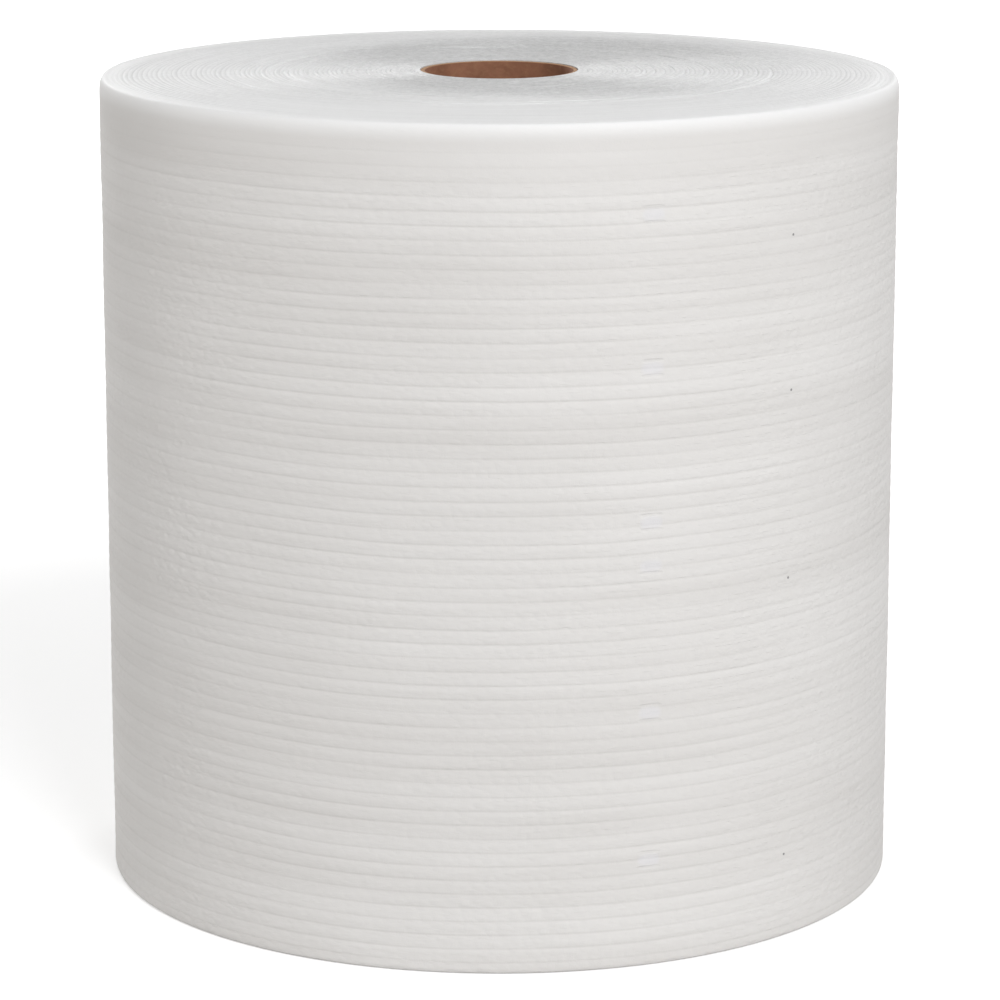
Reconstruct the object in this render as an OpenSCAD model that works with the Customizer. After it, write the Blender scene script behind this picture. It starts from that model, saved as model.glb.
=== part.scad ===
// Jumbo roll of ribbed cleaning wipers, wound on a cardboard core and standing on its end.
// The roll's axis is Z, the base is at Z = 0 and the axis passes through the origin.

/* [Roll] */
// Height of the standing roll, which is the width of the web
roll_h = 318; // [200:1:400]
// Diameter of the roll over its ribs
roll_d = 312; // [220:1:400]
// Height of the stretch under the head's edge where the outer turns lean in
rim_h = 4.5; // [3:0.5:8]
// Distance that the head's edge leans in
rim_in = 1.8; // [0.5:0.1:3]
// Width of the outer zone of the head that falls towards the edge
slope_w = 45; // [20:1:60]
// Fall of the head from its flat middle to its edge
head_fall = 1.2; // [0.2:0.1:3]
// Rounding of the bottom rim
foot_r = 1.5; // [0.5:0.1:1.8]

/* [Core] */
// Bore of the cardboard core
core_bore = 58; // [25:1:80]
// Wall of the cardboard core
core_wall = 1.8; // [1:0.1:4]
// Depth of each end of the core below the web's edges
core_recess = 0.3; // [0.2:0.1:5]
// Slack between the core and the first turn
wind_slack = 0.1; // [0.05:0.05:0.5]

/* [Ribs] */
// Spacing of the ribs along the roll
rib_pitch = 5.3; // [4:0.1:10]
// Depth of the grooves between the ribs
rib_depth = 0.35; // [0.1:0.05:0.8]
// Height of the plain band under the head, above the last groove
top_band = 16; // [12:1:40]
// Height of the first groove above the base
foot_band = 4.5; // [4.5:0.5:20]

/* [Turns] */
// Spacing of the turn lines on the ends of the roll
turn_pitch = 4.5; // [3:0.5:12]
// Width of a turn line at the face
turn_gap = 0.7; // [0.3:0.1:1.2]
// Depth of a turn line
turn_depth = 0.45; // [0.1:0.05:1]
// Width of the closely wound ring round the core, which shows no lines
hub_ring = 5; // [2:0.5:15]

/* [Hidden] */
$fn = 180;

roll_r = roll_d / 2;
core_r = core_bore / 2 + core_wall;
web_bore_r = core_r + wind_slack;
// The grooves' roots lie on this radius, and the ribs' section laps in behind them.
root_r = roll_r - rib_depth;
root_lap = 1;
// Cutting tools run this far past the face that they cut.
run_past = 1;
// Whole ribs fill the stretch between the two plain bands, and what is left over widens the top band.
rib_count = floor((roll_h - top_band - foot_band) / rib_pitch);
ribs_top = foot_band + rib_count * rib_pitch;
// Each rib is crowned by an arc that rises from one groove and falls to the next.
crown_r = (rib_pitch * rib_pitch / 4 + rib_depth * rib_depth) / (2 * rib_depth);
// The head's edge, and the arc that runs into it from the side.
edge_z = roll_h - head_fall;
side_top = edge_z - rim_h;
lean_r = (rim_in * rim_in + rim_h * rim_h) / (2 * rim_in);
// The turn lines start at the hub ring and stop just inside the head's edge.
lines_from_r = web_bore_r + hub_ring;
lines_to_r = roll_r - rim_in - turn_gap;
line_count = floor((lines_to_r - lines_from_r) / turn_pitch) + 1;

// Height of the head at radius r, which falls in the outer zone.
function head_z(r) = roll_h - head_fall * max(0, (r - roll_r + slope_w) / (slope_w - rim_in));

// One rib of the section, with its lower groove at height z.
module rib_section(z) {
    intersection() {
        translate([root_r - root_lap, z]) square([rib_depth + root_lap, rib_pitch]);
        translate([roll_r - crown_r, z + rib_pitch / 2]) circle(r = crown_r);
    }
}

// All the ribs, with half a rib more at each end that runs into the plain band there.
module ribs_section() {
    intersection() {
        translate([root_r - root_lap, foot_band - rib_pitch / 2])
            square([rib_depth + root_lap, ribs_top - foot_band + rib_pitch]);
        union() {
            for (i = [-1 : rib_count])
                rib_section(foot_band + i * rib_pitch);
        }
    }
}

// The section of the winding behind the ribs, with its plain bands, bare of rims.
module winding_section() {
    polygon([
        [web_bore_r, 0],
        [roll_r - foot_r, 0],
        [roll_r - foot_r, foot_r],
        [roll_r, foot_r],
        [roll_r, foot_band - rib_pitch / 2],
        [root_r, foot_band - rib_pitch / 2],
        [root_r, ribs_top + rib_pitch / 2],
        [roll_r, ribs_top + rib_pitch / 2],
        [roll_r, side_top],
        [roll_r - lean_r, side_top],
        [roll_r - lean_r, head_z(roll_r - lean_r)],
        [roll_r - slope_w, roll_h],
        [web_bore_r, roll_h]
    ]);
}

// The rounded bottom rim, and the top rim where the side leans in to the head's edge.
module rims_section() {
    intersection() {
        translate([roll_r - foot_r, 0]) square(foot_r);
        translate([roll_r - foot_r, foot_r]) circle(r = foot_r);
    }
    intersection() {
        polygon([
            [roll_r - lean_r, side_top],
            [roll_r, side_top],
            [roll_r, head_z(roll_r)],
            [roll_r - lean_r, head_z(roll_r - lean_r)]
        ]);
        translate([roll_r - lean_r, side_top]) circle(r = lean_r);
    }
}

// A line between two groups of turns, cut into an end face at radius r and height z.
module turn_line(r, z) {
    translate([r, z])
        polygon([[-turn_gap / 2, 0], [0, -turn_depth], [turn_gap / 2, 0], [0, turn_depth]]);
}

// All the turns of the web, which are wound tight into one solid.
module wound_wipers() {
    color("whitesmoke")
        rotate_extrude()
            difference() {
                union() {
                    winding_section();
                    rims_section();
                    ribs_section();
                }
                for (i = [0 : line_count - 1]) {
                    r = lines_from_r + i * turn_pitch;
                    turn_line(r, 0);
                    turn_line(r, head_z(r));
                }
            }
}

// Cardboard tube that the web is wound on, open from end to end.
module core_tube() {
    color("peru")
        translate([0, 0, core_recess])
            difference() {
                cylinder(r = core_r, h = roll_h - 2 * core_recess);
                translate([0, 0, -run_past]) cylinder(d = core_bore, h = roll_h + run_past);
            }
}

wound_wipers();
core_tube();
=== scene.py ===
import math
import bmesh
import bpy
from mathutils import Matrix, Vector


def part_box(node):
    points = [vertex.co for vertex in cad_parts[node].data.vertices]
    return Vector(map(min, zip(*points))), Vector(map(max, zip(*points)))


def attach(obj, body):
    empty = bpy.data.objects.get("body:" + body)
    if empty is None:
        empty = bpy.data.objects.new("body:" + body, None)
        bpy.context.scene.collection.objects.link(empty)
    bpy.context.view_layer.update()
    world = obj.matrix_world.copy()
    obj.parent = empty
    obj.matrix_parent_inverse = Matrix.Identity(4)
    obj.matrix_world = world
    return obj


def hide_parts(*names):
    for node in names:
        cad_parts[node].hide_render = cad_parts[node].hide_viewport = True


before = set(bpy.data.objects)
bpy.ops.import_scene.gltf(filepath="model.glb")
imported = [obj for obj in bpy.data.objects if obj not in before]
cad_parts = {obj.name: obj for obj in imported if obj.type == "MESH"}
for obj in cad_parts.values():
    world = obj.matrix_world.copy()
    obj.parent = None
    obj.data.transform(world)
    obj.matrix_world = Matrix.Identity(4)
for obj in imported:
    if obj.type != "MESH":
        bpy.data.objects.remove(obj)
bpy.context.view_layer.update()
print("frame loaded")

mm = 0.001
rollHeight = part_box("wound_wipers")[1].z
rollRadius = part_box("wound_wipers")[1].x
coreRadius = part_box("core_tube")[1].x
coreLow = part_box("core_tube")[0].z
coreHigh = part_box("core_tube")[1].z


# Node helpers, for geometry and material trees alike

def feed(tree, socket, value):
    if isinstance(value, bpy.types.NodeSocket):
        tree.links.new(value, socket)
    elif value is not None:
        socket.default_value = value


def addNode(tree, kind, inputs=None, **settings):
    made = tree.nodes.new(kind)
    for name, value in settings.items():
        setattr(made, name, value)
    for key, value in (inputs or {}).items():
        feed(tree, made.inputs[key], value)
    return made


def calc(tree, operation, *values, clamp=False):
    made = addNode(tree, "ShaderNodeMath", operation=operation, use_clamp=clamp)
    for socket, value in zip(made.inputs, values):
        feed(tree, socket, value)
    return made.outputs[0]


def total(tree, *values):
    out = values[0]
    for value in values[1:]:
        out = calc(tree, "ADD", out, value)
    return out


def product(tree, *values):
    out = values[0]
    for value in values[1:]:
        out = calc(tree, "MULTIPLY", out, value)
    return out


def between(tree, value, low, high, toLow=0.0, toHigh=1.0, smooth=False):
    made = addNode(tree, "ShaderNodeMapRange", {0: value, 1: low, 2: high, 3: toLow, 4: toHigh},
                   interpolation_type="SMOOTHSTEP" if smooth else "LINEAR")
    return made.outputs[0]


def vector(tree, x=0.0, y=0.0, z=0.0):
    return addNode(tree, "ShaderNodeCombineXYZ", {0: x, 1: y, 2: z}).outputs[0]


def noise(tree, at, scale=1.0, detail=1.0, roughness=0.5, dimensions="3D"):
    made = addNode(tree, "ShaderNodeTexNoise", {"Vector": at, "Scale": scale, "Detail": detail,
                   "Roughness": roughness}, noise_dimensions=dimensions)
    return made.outputs[0]


def signedNoise(tree, at, scale=1.0, detail=1.0):
    # Noise about zero, from about -1 to 1
    return between(tree, noise(tree, at, scale, detail), 0.25, 0.75, -1.0, 1.0)


def saw(tree, v):
    # 1 on each whole number and 0 halfway between two
    return calc(tree, "ABSOLUTE", calc(tree, "MULTIPLY_ADD", calc(tree, "FRACT", v), 2.0, -1.0))


def fromWhole(tree, v):
    # Distance to the nearest whole number
    nearest = calc(tree, "SUBTRACT", calc(tree, "FRACT", calc(tree, "ADD", v, 0.5)), 0.5)
    return calc(tree, "ABSOLUTE", nearest)


def split(tree, value):
    return addNode(tree, "ShaderNodeSeparateXYZ", {0: value}).outputs


# Wound wipers: the sizes that a user would change, in metres

webSizes = {
    "Roll Height": rollHeight,
    "Roll Radius": rollRadius,
    "Bore Radius": coreRadius + 0.1 * mm,
    "Rib Pitch": 5.3 * mm,
    "Rib Depth": 0.24 * mm,
    "Crown Power": 1.8,
    "Flank Share": 0.6,
    "Foot Band": 4.5 * mm,
    "Foot Radius": 1.6 * mm,
    "Rim Inset": 1.8 * mm,
    "Head Fall": 1.2 * mm,
    "Slope Width": 45 * mm,
    "Turn Depth": 0.62 * mm,
    "Outer Turn Share": 0.42,
    "Ply": 0.4 * mm,
    "Tail Lift": 0.3 * mm,
    "Tail Angle": math.radians(118),
}
webCounts = {
    "columns": 132,
    "rowsPerRib": 6,
    "ribs": 58,
    "headLines": 65,
    "footLines": 65,
}
# How far the winding strays from its plain form
webUnevenness = {
    "swell": 0.16 * mm,
    "sway": 0.35 * mm,
    "ripple": 0.07 * mm,
    "turnWobble": 0.35 * mm,
    "headSwell": 0.5 * mm,
}
webMap = "webUV"
grooveName = "grooveStrength"
mergeReach = 0.002 * mm


def webInputs(tree):
    for name, value in webSizes.items():
        socket = tree.interface.new_socket(name=name, in_out="INPUT", socket_type="NodeSocketFloat")
        socket.default_value = value
    for name in ("Side Material", "End Material"):
        tree.interface.new_socket(name=name, in_out="INPUT", socket_type="NodeSocketMaterial")
    tree.interface.new_socket(name="Geometry", in_out="OUTPUT", socket_type="NodeSocketGeometry")
    return tree.nodes.new("NodeGroupInput").outputs


def patch(tree, given, rows, section, material, phase):
    # One band of the winding: a flat grid, bent round the axis along the part of the section that
    # section(frac, t) gives as a radius and a height. One more column closes the step at the web's tail.
    columns = webCounts["columns"]
    grid = addNode(tree, "GeometryNodeMeshGrid", {"Size X": 1.0, "Size Y": 1.0,
                   "Vertices X": columns + 2, "Vertices Y": rows + 1})
    at = split(tree, tree.nodes.new("GeometryNodeInputPosition").outputs[0])
    along = calc(tree, "MULTIPLY", calc(tree, "ADD", at[0], 0.5), (columns + 1) / columns)
    onWeb = calc(tree, "LESS_THAN", along, 1 + 0.5 / columns)
    frac = calc(tree, "MULTIPLY", along, onWeb)
    t = calc(tree, "ADD", at[1], 0.5)
    angle = calc(tree, "ADD", calc(tree, "MULTIPLY", frac, 2 * math.pi), given["Tail Angle"])
    c = calc(tree, "COSINE", angle)
    s = calc(tree, "SINE", angle)
    v = phase(t)
    radius, height, strength = section(frac, t, c, s, v)
    mapped = addNode(tree, "GeometryNodeStoreNamedAttribute", {"Geometry": grid.outputs["Mesh"],
                     "Name": webMap, "Value": vector(tree, calc(tree, "MINIMUM", along, 1.0), v)},
                     data_type="FLOAT2", domain="CORNER")
    strong = addNode(tree, "GeometryNodeStoreNamedAttribute", {"Geometry": mapped.outputs[0],
                     "Name": grooveName, "Value": strength}, data_type="FLOAT", domain="POINT")
    position = vector(tree, product(tree, radius, c), product(tree, radius, s), height)
    placed = addNode(tree, "GeometryNodeSetPosition", {"Geometry": strong.outputs[0], "Position": position})
    return addNode(tree, "GeometryNodeSetMaterial", {"Geometry": placed.outputs[0],
                   "Material": given[material]}).outputs[0]


def buildWebTree():
    tree = bpy.data.node_groups.new("woundWebTree", "GeometryNodeTree")
    given = webInputs(tree)
    ribs = webCounts["ribs"]
    lowPhase = -0.5
    sideRows = round((ribs - lowPhase) * webCounts["rowsPerRib"])
    lowZ = calc(tree, "MULTIPLY_ADD", given["Rib Pitch"], lowPhase, given["Foot Band"])
    highZ = calc(tree, "MULTIPLY_ADD", given["Rib Pitch"], ribs, given["Foot Band"])
    edgeZ = calc(tree, "SUBTRACT", given["Roll Height"], given["Head Fall"])
    edgeR = calc(tree, "SUBTRACT", given["Roll Radius"], given["Rim Inset"])

    def plyStep(frac, t=None):
        # The web's tail lies one ply higher than the turn that it ends on
        step = product(tree, calc(tree, "SUBTRACT", frac, 1.0), given["Ply"])
        return step if t is None else product(tree, step, between(tree, t, 0.0, 0.06, 1.0, 0.0))

    def sideSection(frac, t, c, s, v):
        z = calc(tree, "MULTIPLY_ADD", v, given["Rib Pitch"], given["Foot Band"])
        middle = calc(tree, "MULTIPLY", between(tree, t, 0.0, 0.03, smooth=True),
                      between(tree, t, 1.0, 0.97, smooth=True))
        ribPlace = vector(tree, product(tree, c, 0.9), product(tree, s, 0.9), product(tree, v, 0.55))
        broken = vector(tree, product(tree, c, 7.0), product(tree, s, 7.0), product(tree, v, 0.8))
        # The ribs lie flatter on the two flanks
        sideways = calc(tree, "ABSOLUTE", c)
        flank = between(tree, sideways, 0.45, 0.85, 1.0, given["Flank Share"], smooth=True)
        strength = total(tree, between(tree, noise(tree, ribPlace, 1.7, 2.0), 0.34, 0.64, 0.4, 1.05),
                         between(tree, noise(tree, broken, 1.0, 2.0), 0.34, 0.66, 0.0, 0.15))
        strength = product(tree, strength, flank)
        ribbed = between(tree, v, ribs - 3.6, ribs - 2.0, 1.0, 0.42, smooth=True)
        crown = calc(tree, "POWER", saw(tree, v), given["Crown Power"])
        groove = product(tree, crown, strength, ribbed, middle)
        slow = vector(tree, product(tree, c, 0.8), product(tree, s, 0.8), product(tree, z, 26.0))
        swell = product(tree, signedNoise(tree, slow, 1.0), webUnevenness["swell"], middle)
        loose = between(tree, noise(tree, vector(tree, 0.0, 0.0, z), 40.0), 0.3, 0.7)
        lifted = product(tree, between(tree, frac, 1 - 1.6 / webCounts["columns"], 1.0, 0.0, 1.0),
                         given["Tail Lift"], loose)
        radius = total(tree, given["Roll Radius"], plyStep(frac), swell, product(tree, lifted, middle))
        radius = calc(tree, "SUBTRACT", radius, product(tree, groove, given["Rib Depth"]))
        sway = vector(tree, product(tree, c, 2.2), product(tree, s, 2.2), product(tree, v, 0.09))
        ripple = vector(tree, product(tree, c, 14.0), product(tree, s, 14.0), product(tree, v, 0.6))
        height = total(tree, z, product(tree, signedNoise(tree, sway, 1.0), webUnevenness["sway"], middle),
                       product(tree, signedNoise(tree, ripple, 1.0), webUnevenness["ripple"], middle))
        return radius, height, product(tree, strength, ribbed)

    def rimSection(frac, t, c, s, v):
        turned = calc(tree, "MULTIPLY", t, math.pi / 2)
        radius = calc(tree, "MULTIPLY_ADD", calc(tree, "COSINE", turned), given["Rim Inset"], edgeR)
        rise = calc(tree, "SUBTRACT", edgeZ, highZ)
        height = calc(tree, "MULTIPLY_ADD", calc(tree, "SINE", turned), rise, highZ)
        return total(tree, radius, plyStep(frac)), height, 0.0

    def turnLines(t, c, s, v):
        # Depth and strength of the lines between turns, on either end
        inside = calc(tree, "MULTIPLY", between(tree, t, 0.0, 0.02, smooth=True),
                      between(tree, t, 1.0, 0.98, smooth=True))
        turnPlace = vector(tree, product(tree, c, 0.5), product(tree, s, 0.5), product(tree, v, 0.83))
        strength = between(tree, noise(tree, turnPlace, 2.3, 2.0), 0.3, 0.7, 0.15, 1.35)
        line = product(tree, saw(tree, v), strength, given["Turn Depth"], inside)
        return inside, strength, line

    def headSection(frac, t, c, s, v):
        inside, strength, line = turnLines(t, c, s, v)
        ring = vector(tree, product(tree, c, 0.7), product(tree, s, 0.7), product(tree, v, 0.31))
        wobble = product(tree, signedNoise(tree, ring, 2.6, 2.0), webUnevenness["turnWobble"], inside)
        span = calc(tree, "SUBTRACT", given["Bore Radius"], edgeR)
        plain = calc(tree, "MULTIPLY_ADD", t, span, edgeR)
        radius = total(tree, plain, wobble, plyStep(frac, t))
        slopeFrom = calc(tree, "SUBTRACT", given["Roll Radius"], given["Slope Width"])
        sloped = calc(tree, "POWER", between(tree, plain, slopeFrom, edgeR), 2.0)
        fall = product(tree, sloped, given["Head Fall"])
        fadeFrom = calc(tree, "SUBTRACT", slopeFrom, 5 * mm)
        fadeTo = calc(tree, "ADD", slopeFrom, 3 * mm)
        outer = between(tree, plain, fadeFrom, fadeTo, 1.0, given["Outer Turn Share"], smooth=True)
        swellPlace = vector(tree, product(tree, c, 1.1), product(tree, s, 1.1), product(tree, v, 0.12))
        sunk = between(tree, noise(tree, swellPlace, 1.4, 2.0), 0.25, 0.75)
        swell = product(tree, sunk, webUnevenness["headSwell"], inside)
        down = total(tree, fall, product(tree, line, outer), swell)
        return radius, calc(tree, "SUBTRACT", given["Roll Height"], down), strength

    def boreSection(frac, t, c, s, v):
        height = product(tree, given["Roll Height"], calc(tree, "SUBTRACT", 1.0, t))
        return given["Bore Radius"], height, 0.0

    def footSection(frac, t, c, s, v):
        strength, line = turnLines(t, c, s, v)[1:]
        outR = calc(tree, "SUBTRACT", given["Roll Radius"], given["Foot Radius"])
        radius = calc(tree, "MULTIPLY_ADD", t, calc(tree, "SUBTRACT", outR, given["Bore Radius"]),
                      given["Bore Radius"])
        fade = product(tree, plyStep(frac), between(tree, t, 0.95, 1.0))
        return total(tree, radius, fade), line, strength

    def footRimSection(frac, t, c, s, v):
        turned = calc(tree, "MULTIPLY", t, math.pi / 2)
        radius = calc(tree, "SUBTRACT", given["Roll Radius"], given["Foot Radius"])
        radius = calc(tree, "MULTIPLY_ADD", calc(tree, "SINE", turned), given["Foot Radius"], radius)
        height = product(tree, calc(tree, "SUBTRACT", 1.0, calc(tree, "COSINE", turned)), lowZ)
        return total(tree, radius, plyStep(frac)), height, 0.0

    def lines(count):
        return lambda t: calc(tree, "MULTIPLY", t, float(count))

    headLines = webCounts["headLines"]
    footLines = webCounts["footLines"]
    patches = [
        patch(tree, given, sideRows, sideSection, "Side Material",
              lambda t: calc(tree, "MULTIPLY_ADD", t, ribs - lowPhase, lowPhase)),
        patch(tree, given, 7, rimSection, "Side Material", lambda t: calc(tree, "ADD", t, float(ribs))),
        patch(tree, given, headLines * 3, headSection, "End Material", lines(headLines)),
        patch(tree, given, 10, boreSection, "End Material", lines(1)),
        patch(tree, given, footLines * 2, footSection, "End Material", lines(footLines)),
        patch(tree, given, 4, footRimSection, "Side Material",
              lambda t: calc(tree, "ADD", t, lowPhase - 1)),
    ]
    joined = tree.nodes.new("GeometryNodeJoinGeometry")
    for part in patches:
        tree.links.new(part, joined.inputs[0])
    merged = addNode(tree, "GeometryNodeMergeByDistance", {"Geometry": joined.outputs[0],
                     "Distance": mergeReach})
    smooth = addNode(tree, "GeometryNodeSetShadeSmooth", {"Geometry": merged.outputs[0]})
    whole = addNode(tree, "GeometryNodeRealizeInstances", {0: smooth.outputs[0]})
    feed(tree, tree.nodes.new("NodeGroupOutput").inputs[0], whole.outputs[0])
    return tree


def growMesh(name, tree, values):
    # Runs a geometry tree once and keeps its result as a plain mesh
    mesh = bpy.data.meshes.new(name)
    piece = bpy.data.objects.new(name, mesh)
    bpy.context.scene.collection.objects.link(piece)
    modifier = piece.modifiers.new("grow", "NODES")
    modifier.node_group = tree
    for item in tree.interface.items_tree:
        if item.in_out == "INPUT" and item.name in values:
            modifier[item.identifier] = values[item.name]
    graph = bpy.context.evaluated_depsgraph_get()
    grown = bpy.data.meshes.new_from_object(piece.evaluated_get(graph), preserve_all_data_layers=True,
                                            depsgraph=graph)
    piece.modifiers.clear()
    piece.data = grown
    bpy.data.meshes.remove(mesh)
    grown.name = name
    return piece


def faceOutwards(piece):
    shell = bmesh.new()
    shell.from_mesh(piece.data)
    bmesh.ops.recalc_face_normals(shell, faces=shell.faces)
    openEdges = sum(not edge.is_manifold for edge in shell.edges)
    print(piece.name, "triangles", sum(len(f.verts) - 2 for f in shell.faces), "open edges", openEdges,
          "volume", round(shell.calc_volume(signed=True), 6))
    shell.to_mesh(piece.data)
    shell.free()


# Materials

def newMaterial(name):
    material = bpy.data.materials.new(name)
    material.use_nodes = True
    material.node_tree.nodes.clear()
    tree = material.node_tree
    shader = tree.nodes.new("ShaderNodeBsdfPrincipled")
    tree.links.new(shader.outputs[0], tree.nodes.new("ShaderNodeOutputMaterial").inputs[0])
    return material, tree, shader


def mixColour(tree, amount, first, second):
    made = addNode(tree, "ShaderNodeMix", data_type="RGBA")
    feed(tree, made.inputs[0], amount)
    feed(tree, made.inputs[6], first)
    feed(tree, made.inputs[7], second)
    return made.outputs[2]


def bump(tree, height, distance, below=None):
    made = addNode(tree, "ShaderNodeBump", {"Strength": 1.0, "Distance": distance, "Height": height})
    if below is not None:
        feed(tree, made.inputs["Normal"], below)
    return made.outputs[0]


def fromAxis(tree, at):
    return calc(tree, "SQRT", total(tree, product(tree, at[0], at[0]), product(tree, at[1], at[1])))


sideLook = {
    "white": (0.815, 0.80, 0.785, 1),
    "shade": (0.70, 0.68, 0.66, 1),
    "paintedGrooveShade": (0.62, 0.60, 0.58, 1),
    "paintedRimLight": (0.94, 0.94, 0.94, 1),
    "speckTint": (0.08, 0.08, 0.09, 1),
    "dimplesAround": 200,
    "dimplesPerRib": 1.7,
    "pinchTurn": 20.9,
    "pinchHeights": (0.2857, 0.2802, 0.2297, 0.2242, 0.1725, 0.167, 0.1508, 0.1007, 0.095, 0.0442,
                     0.0385),
    "pinchWidth": 10 * mm,
    "pinchHeight": 1.8 * mm,
    "pinchDepth": 0.18 * mm,
    "pressedHeights": (0.28295, 0.22695, 0.16975, 0.1535, 0.09785, 0.04135),
    "pressedHeight": 6 * mm,
    "pressedTint": (0.79, 0.785, 0.825, 1),
    "speckTurn": 43.9,
    "speckHeights": (0.2705, 0.2125, 0.141, 0.033),
    "speckWidth": 1.1 * mm,
    "roughness": 0.55,
    "gloss": 0.3,
    "grainDepth": 0.07 * mm,
    "creaseDepth": 0.07 * mm,
    "dimpleDepth": 0.12 * mm,
    "blobDepth": 0.09 * mm,
    "grooveDepth": 0.06 * mm,
}


def nearSpots(tree, at, turn, width, height, middles):
    # How near a point is to a column of spots on the side: 0 at a spot's middle and 1 on its oval edge
    a = math.radians(turn)
    along = total(tree, product(tree, at[0], math.cos(a)), product(tree, at[1], math.sin(a)))
    up = 1.0
    for middle in middles:
        up = calc(tree, "MINIMUM", up, calc(tree, "ABSOLUTE", calc(tree, "SUBTRACT", at[2], middle)))
    across = calc(tree, "POWER", calc(tree, "MULTIPLY", along, 2 / width), 4.0)
    upward = calc(tree, "POWER", calc(tree, "MULTIPLY", up, 2 / height), 2.0)
    behind = calc(tree, "GREATER_THAN", at[1], 0.0)
    return total(tree, across, upward, product(tree, behind, 9.0))


def webSideMaterial():
    material, tree, shader = newMaterial("webSide")
    u, v = split(tree, addNode(tree, "ShaderNodeUVMap", uv_map=webMap).outputs[0])[:2]
    place = tree.nodes.new("ShaderNodeTexCoord").outputs["Object"]
    strength = addNode(tree, "ShaderNodeAttribute", attribute_name=grooveName).outputs["Fac"]

    # Pressed dimples, in staggered rows along each rib
    row = calc(tree, "MULTIPLY", v, float(sideLook["dimplesPerRib"]))
    odd = calc(tree, "MODULO", calc(tree, "FLOOR", row), 2.0)
    shift = calc(tree, "MULTIPLY", odd, 0.5)
    step = calc(tree, "MULTIPLY_ADD", u, float(sideLook["dimplesAround"]), shift)
    cells = addNode(tree, "ShaderNodeTexVoronoi", {"Vector": vector(tree, step, row), "Scale": 1.0,
                    "Randomness": 0.85}, voronoi_dimensions="2D")
    pillow = between(tree, cells.outputs["Distance"], 0.15, 0.6, 1.0, 0.0, smooth=True)
    patchy = between(tree, noise(tree, place, 22.0, 3.0), 0.35, 0.65, 0.45, 1.0)
    blobPlace = vector(tree, product(tree, u, 330.0), product(tree, row, 0.75))
    blobs = noise(tree, blobPlace, 1.0, 0.0, dimensions="2D")
    calm = between(tree, v, webCounts["ribs"] - 4.0, webCounts["ribs"] - 1.5, 1.0, 0.35, smooth=True)

    # The groove's sharp bottom, finer than the mesh
    groove = product(tree, between(tree, fromWhole(tree, v), 0.0, 0.14, 1.0, 0.0, smooth=True), strength)

    # Long creases that run with the web, and the felted grain
    stretched = addNode(tree, "ShaderNodeMapping", {"Vector": place, "Scale": (130.0, 130.0, 900.0)})
    creases = noise(tree, stretched.outputs[0], 1.0, 3.0, 0.6)
    grain = noise(tree, place, 1800.0, 2.0, 0.6)

    at = split(tree, place)
    flank = between(tree, calc(tree, "ABSOLUTE", at[0]), 0.4 * rollRadius, 0.85 * rollRadius, 0.7, 1.25)
    relief = bump(tree, grain, sideLook["grainDepth"])
    relief = bump(tree, product(tree, creases, calm), sideLook["creaseDepth"], relief)
    relief = bump(tree, product(tree, pillow, patchy, calm, flank), sideLook["dimpleDepth"], relief)
    relief = bump(tree, product(tree, blobs, calm), sideLook["blobDepth"], relief)
    relief = bump(tree, calc(tree, "SUBTRACT", 1.0, groove), sideLook["grooveDepth"], relief)

    # A column of pinch marks, each a pressed patch between two thin lines
    pinch = nearSpots(tree, at, sideLook["pinchTurn"], sideLook["pinchWidth"], sideLook["pinchHeight"],
                      sideLook["pinchHeights"])
    relief = bump(tree, between(tree, pinch, 0.0, 1.0, smooth=True), sideLook["pinchDepth"], relief)

    mottle = between(tree, noise(tree, place, 9.0, 4.0, 0.6), 0.35, 0.65)
    bands = addNode(tree, "ShaderNodeMapping", {"Vector": place, "Scale": (3.0, 3.0, 60.0)})
    banded = between(tree, noise(tree, bands.outputs[0], 1.0, 3.0, 0.6), 0.35, 0.65)
    shade = product(tree, total(tree, product(tree, mottle, 0.25), product(tree, banded, 0.6)), 0.8)
    colour = mixColour(tree, shade, sideLook["white"], sideLook["shade"])
    # Painted shade: the grooves are darkened
    colour = mixColour(tree, product(tree, groove, 0.34), colour, sideLook["paintedGrooveShade"])
    # Painted light: the rim is painted lighter, as if light came through the few outer turns there
    rim = between(tree, v, webCounts["ribs"] - 0.5, webCounts["ribs"] + 0.9, smooth=True)
    colour = mixColour(tree, rim, colour, sideLook["paintedRimLight"])
    pressed = nearSpots(tree, at, sideLook["pinchTurn"], sideLook["pinchWidth"], sideLook["pressedHeight"],
                        sideLook["pressedHeights"])
    pressed = between(tree, pressed, 0.0, 1.0, 0.45, 0.0, smooth=True)
    colour = mixColour(tree, pressed, colour, sideLook["pressedTint"])
    speck = nearSpots(tree, at, sideLook["speckTurn"], sideLook["speckWidth"], sideLook["speckWidth"],
                      sideLook["speckHeights"])
    colour = mixColour(tree, between(tree, speck, 0.3, 1.0, 0.7, 0.0), colour, sideLook["speckTint"])
    feed(tree, shader.inputs["Base Color"], colour)
    shader.inputs["Roughness"].default_value = sideLook["roughness"]
    shader.inputs["Specular IOR Level"].default_value = sideLook["gloss"]
    feed(tree, shader.inputs["Normal"], relief)
    return material


endLook = {
    "white": (0.78, 0.78, 0.78, 1),
    "outerWhiteAndLight": (0.885, 0.885, 0.885, 1),
    "shade": (0.42, 0.42, 0.42, 1),
    "paintedLineShade": (0.36, 0.36, 0.36, 1),
    "roughness": 0.5,
    "gloss": 0.5,
    "combed": 0.68,
    "paintedShadeMiddle": (22 * mm, 20 * mm, rollHeight),
    "paintedShadeRadius": 101 * mm,
    "pliesPerLine": 4,
    "fibreDepth": 0.25 * mm,
    "plyDepth": 0.03 * mm,
}


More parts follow.
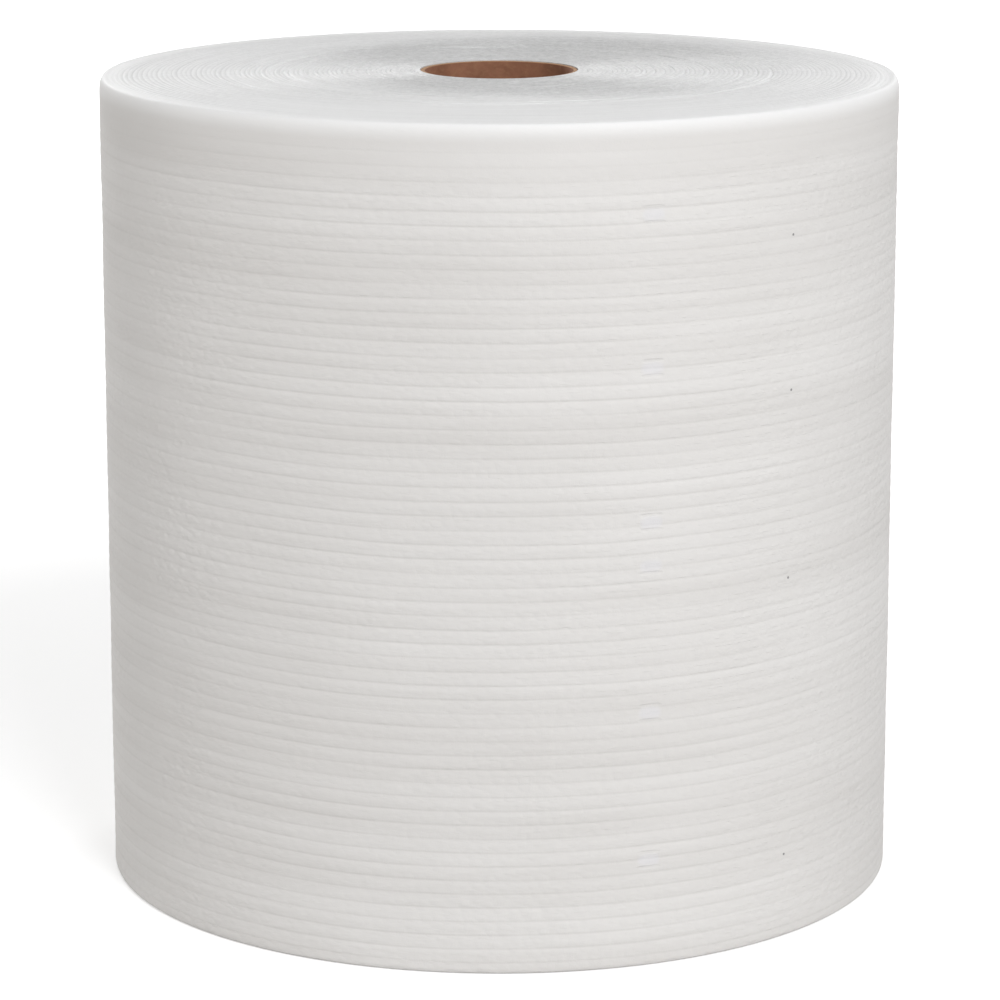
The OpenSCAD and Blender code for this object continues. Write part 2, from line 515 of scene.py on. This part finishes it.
def webEndMaterial():
    material, tree, shader = newMaterial("webEnd")
    v = split(tree, addNode(tree, "ShaderNodeUVMap", uv_map=webMap).outputs[0])[1]
    place = tree.nodes.new("ShaderNodeTexCoord").outputs["Object"]
    strength = addNode(tree, "ShaderNodeAttribute", attribute_name=grooveName).outputs["Fac"]
    ripple = calc(tree, "MULTIPLY_ADD", noise(tree, place, 120.0, 3.0), 0.5, v)
    plies = calc(tree, "SINE", calc(tree, "MULTIPLY", ripple, 2 * math.pi * endLook["pliesPerLine"]))
    line = product(tree, between(tree, fromWhole(tree, v), 0.0, 0.3, 1.0, 0.0, smooth=True), strength)
    fibres = noise(tree, place, 700.0, 4.0, 0.7)
    relief = bump(tree, fibres, endLook["fibreDepth"])
    relief = bump(tree, plies, endLook["plyDepth"], relief)
    mottle = between(tree, noise(tree, place, 14.0, 5.0, 0.65), 0.35, 0.65)
    speckle = between(tree, noise(tree, place, 420.0, 4.0, 0.75), 0.36, 0.68)
    shade = total(tree, product(tree, mottle, 0.15), product(tree, speckle, 0.5))
    at = split(tree, place)
    radius = fromAxis(tree, at)
    # Painted shade and light: the middle of the head is painted darker, off the axis, and its outer ring
    # lighter
    away = addNode(tree, "ShaderNodeVectorMath", {0: place, 1: endLook["paintedShadeMiddle"]},
                   operation="DISTANCE")
    uneven = calc(tree, "MULTIPLY_ADD", noise(tree, place, 30.0, 3.0), 10 * mm, away.outputs["Value"])
    paintedShadeRadius = endLook["paintedShadeRadius"]
    outer = between(tree, uneven, paintedShadeRadius - 16 * mm, paintedShadeRadius + 20 * mm, smooth=True)
    base = mixColour(tree, outer, endLook["white"], endLook["outerWhiteAndLight"])
    fewer = between(tree, outer, 0.0, 1.0, 1.0, 0.4)
    colour = mixColour(tree, product(tree, shade, fewer), base, endLook["shade"])
    # Painted light: the outer ring is painted lighter towards the front, where the key light falls on it
    front = between(tree, at[1], -0.42 * rollRadius, -0.85 * rollRadius, 0.0, 0.95, smooth=True)
    colour = mixColour(tree, product(tree, outer, front), colour, sideLook["paintedRimLight"])
    # Painted shade: the lines between turns, which are grooves in the mesh, are darkened
    colour = mixColour(tree, product(tree, line, 0.3), colour, endLook["paintedLineShade"])
    # Painted light: the head is painted lighter towards its outer edge
    edge = between(tree, radius, rollRadius - 13 * mm, rollRadius - 2 * mm, smooth=True)
    colour = mixColour(tree, edge, colour, sideLook["paintedRimLight"])
    # The cut edges lie along the turns, so they shine across them
    across = addNode(tree, "ShaderNodeVectorMath", {0: vector(tree, at[0], at[1], 0.0)},
                     operation="NORMALIZE")
    feed(tree, shader.inputs["Anisotropic"], between(tree, outer, 0.0, 1.0, endLook["combed"], 0.15))
    feed(tree, shader.inputs["Tangent"], across.outputs[0])
    feed(tree, shader.inputs["Base Color"], colour)
    shader.inputs["Roughness"].default_value = endLook["roughness"]
    shader.inputs["Specular IOR Level"].default_value = endLook["gloss"]
    feed(tree, shader.inputs["Normal"], relief)
    return material


# Core tube: spiral-wound board with an open butt seam that climbs round it

coreSizes = {
    "wall": 1.8 * mm,
    "columns": 96,
    "rows": 72,
    "lead": 105 * mm,
    "seamGap": 0.5 * mm,
    "seamDepth": 0.3 * mm,
    "lip": 0.25 * mm,
}


def buildCoreTube(material):
    innerRadius = coreRadius - coreSizes["wall"]
    lip, gap = coreSizes["lip"], coreSizes["seamGap"] / innerRadius
    spread = 2 * math.pi - 3 * gap
    turns = [(-1.5 * gap, 0), (-0.5 * gap, 1), (0.5 * gap, 1)]
    turns += [(1.5 * gap + spread * i / coreSizes["columns"], 0) for i in range(coreSizes["columns"])]
    heights = [coreLow + lip + (coreHigh - coreLow - 2 * lip) * i / coreSizes["rows"]
               for i in range(coreSizes["rows"] + 1)]
    # Each ring of the section: inner radius side up, over the top lip, down outside, and under
    rings = [(innerRadius, z, 1) for z in heights]
    rings += [(innerRadius + lip, coreHigh, 0), (coreRadius - lip, coreHigh, 0)]
    rings += [(coreRadius, z, 1) for z in reversed(heights)]
    rings += [(coreRadius - lip, coreLow, 0), (innerRadius + lip, coreLow, 0)]
    shell = bmesh.new()
    grid = []
    for radius, z, wall in rings:
        ring = []
        for turn, inSeam in turns:
            angle = turn + 2 * math.pi * z / coreSizes["lead"]
            sunk = coreSizes["seamDepth"] * inSeam * wall
            r = radius + (sunk if radius < innerRadius + lip / 2 else -sunk)
            ring.append(shell.verts.new((r * math.cos(angle), r * math.sin(angle), z)))
        grid.append(ring)
    for i, ring in enumerate(grid):
        above = grid[(i + 1) % len(grid)]
        for j in range(len(turns)):
            k = (j + 1) % len(turns)
            shell.faces.new((ring[j], ring[k], above[k], above[j]))
    mesh = bpy.data.meshes.new("coreTube")
    shell.to_mesh(mesh)
    shell.free()
    mesh.materials.append(material)
    for face in mesh.polygons:
        face.use_smooth = True
    piece = bpy.data.objects.new("coreTube", mesh)
    bpy.context.scene.collection.objects.link(piece)
    mesh.set_sharp_from_angle(angle=math.radians(40))
    return piece


boardLook = {
    "brown": (0.33, 0.15, 0.085, 1),
    "dark": (0.17, 0.07, 0.035, 1),
    "pale": (0.50, 0.30, 0.15, 1),
    "cutEdge": (0.46, 0.27, 0.13, 1),
    "roughness": 0.8,
    "ply": 0.35 * mm,
    "cutReach": 0.12 * mm,
    "fibreDepth": 0.06 * mm,
    "plyDepth": 0.03 * mm,
}


def coreBoardMaterial():
    material, tree, shader = newMaterial("coreBoard")
    place = tree.nodes.new("ShaderNodeTexCoord").outputs["Object"]
    at = split(tree, place)
    blotch = between(tree, noise(tree, place, 75.0, 5.0, 0.65), 0.4, 0.68)
    stretched = addNode(tree, "ShaderNodeMapping", {"Vector": place, "Scale": (420.0, 420.0, 700.0)})
    fibre = noise(tree, stretched.outputs[0], 1.0, 3.0, 0.6)
    colour = mixColour(tree, product(tree, blotch, 0.75), boardLook["brown"], boardLook["dark"])
    colour = mixColour(tree, between(tree, fibre, 0.5, 0.8, 0.0, 0.25), colour, boardLook["pale"])
    # The top cut end shows paler board, with the edges of its plies
    plies = calc(tree, "SINE", calc(tree, "MULTIPLY", fromAxis(tree, at), 2 * math.pi / boardLook["ply"]))
    cut = calc(tree, "GREATER_THAN", at[2], coreHigh - boardLook["cutReach"])
    colour = mixColour(tree, product(tree, cut, 0.7), colour, boardLook["cutEdge"])
    feed(tree, shader.inputs["Base Color"], colour)
    shader.inputs["Roughness"].default_value = boardLook["roughness"]
    relief = bump(tree, fibre, boardLook["fibreDepth"])
    relief = bump(tree, product(tree, plies, cut), boardLook["plyDepth"], relief)
    feed(tree, shader.inputs["Normal"], relief)
    return material


webSide = webSideMaterial()
webEnd = webEndMaterial()
coreBoard = coreBoardMaterial()
print("materials made")

webTree = buildWebTree()
webValues = {**webSizes, "Side Material": webSide, "End Material": webEnd}
woundWipers = growMesh("woundWipers", webTree, webValues)
faceOutwards(woundWipers)
woundWipers.data.set_sharp_from_angle(angle=math.radians(50))
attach(woundWipers, "root")
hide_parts("wound_wipers")
print("wound wipers made")

coreTube = buildCoreTube(coreBoard)
faceOutwards(coreTube)
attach(coreTube, "root")
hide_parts("core_tube")
print("core tube made")


# Floor, light and camera

studio = {
    "floorSize": 12.0,
    "nearGlow": 0.46,
    "farGlow": 0.75,
    "ambient": 0.35,
}
# Each lamp's turn is measured from the camera's side towards the right of its view
warmTint = (1.0, 0.96, 0.9)
plainTint = (1.0, 1.0, 1.0)
lamps = {
    "keyBox": {"turn": 25, "rise": 33, "distance": 7.0, "size": 3.0, "power": 282},
    "leftBox": {"turn": -90, "rise": 8, "distance": 4.0, "size": 1.6, "power": 21, "tint": warmTint},
    "backLeftBox": {"turn": 206, "rise": 22, "distance": 4.0, "size": 1.2, "power": 33},
    "backRightBox": {"turn": 155, "rise": 22, "distance": 4.0, "size": 1.2, "power": 21},
}
photoCamera = {
    "distance": 10.280 * rollRadius,
    "height": 3.2511 * rollRadius,
    "pitch": 12.714,
    "lens": 147.95,
    "shiftX": 0.001,
}


def buildFloor():
    half = studio["floorSize"] / 2
    mesh = bpy.data.meshes.new("floor")
    corners = [(-half, -half, 0), (half, -half, 0), (half, half, 0), (-half, half, 0)]
    mesh.from_pydata(corners, [], [(0, 1, 2, 3)])
    floor = bpy.data.objects.new("floor", mesh)
    bpy.context.scene.collection.objects.link(floor)
    material = bpy.data.materials.new("floorPale")
    material.use_nodes = True
    tree = material.node_tree
    tree.nodes.clear()
    seen = addNode(tree, "ShaderNodeLightPath").outputs["Is Camera Ray"]
    matt = addNode(tree, "ShaderNodeBsdfDiffuse", {"Color": (0.8, 0.8, 0.8, 1)})
    # The floor glows less near the roll, so that the roll's shadow stays
    place = tree.nodes.new("ShaderNodeTexCoord").outputs["Object"]
    away = addNode(tree, "ShaderNodeVectorMath", {0: place}, operation="LENGTH").outputs["Value"]
    glowing = between(tree, away, 0.2, 1.6, studio["nearGlow"], studio["farGlow"], smooth=True)
    shining = product(tree, seen, glowing)
    glow = addNode(tree, "ShaderNodeEmission", {"Color": (1, 1, 1, 1), "Strength": shining})
    both = tree.nodes.new("ShaderNodeAddShader")
    feed(tree, both.inputs[0], matt.outputs[0])
    feed(tree, both.inputs[1], glow.outputs[0])
    feed(tree, tree.nodes.new("ShaderNodeOutputMaterial").inputs[0], both.outputs[0])
    mesh.materials.append(material)


def buildWorld():
    world = bpy.data.worlds.new("paleRoom")
    world.use_nodes = True
    bpy.context.scene.world = world
    tree = world.node_tree
    tree.nodes.clear()
    rays = tree.nodes.new("ShaderNodeLightPath").outputs
    seen = calc(tree, "MAXIMUM", rays["Is Camera Ray"],
                calc(tree, "MAXIMUM", rays["Is Glossy Ray"], rays["Is Transmission Ray"]))
    power = between(tree, seen, 0.0, 1.0, studio["ambient"], 1.0)
    glow = addNode(tree, "ShaderNodeBackground", {"Color": (1, 1, 1, 1), "Strength": power})
    feed(tree, tree.nodes.new("ShaderNodeOutputWorld").inputs[0], glow.outputs[0])


def softbox(name, turn, rise, distance, size, power, tint=plainTint):
    lamp = bpy.data.lights.new(name, "AREA")
    lamp.shape = "DISK"
    lamp.size = size
    lamp.energy = power
    lamp.color = tint
    box = bpy.data.objects.new(name, lamp)
    bpy.context.scene.collection.objects.link(box)
    a, b = math.radians(turn), math.radians(rise)
    box.location = (distance * math.cos(b) * math.sin(a), -distance * math.cos(b) * math.cos(a),
                    rollHeight / 2 + distance * math.sin(b))
    box.rotation_euler = (math.pi / 2 - b, 0, a)


def buildCamera():
    lens = bpy.data.cameras.new("photoCamera")
    lens.sensor_fit = "HORIZONTAL"
    lens.sensor_width = 36
    lens.lens = photoCamera["lens"]
    lens.shift_x = photoCamera["shiftX"]
    lens.clip_end = 50
    camera = bpy.data.objects.new("photoCamera", lens)
    bpy.context.scene.collection.objects.link(camera)
    camera.location = (0, -photoCamera["distance"], photoCamera["height"])
    camera.rotation_euler = (math.radians(90 - photoCamera["pitch"]), 0, 0)
    bpy.context.scene.camera = camera


buildFloor()
buildWorld()
for name, lamp in lamps.items():
    softbox(name, **lamp)
buildCamera()
bpy.context.scene.view_settings.view_transform = "Standard"
print("studio made")
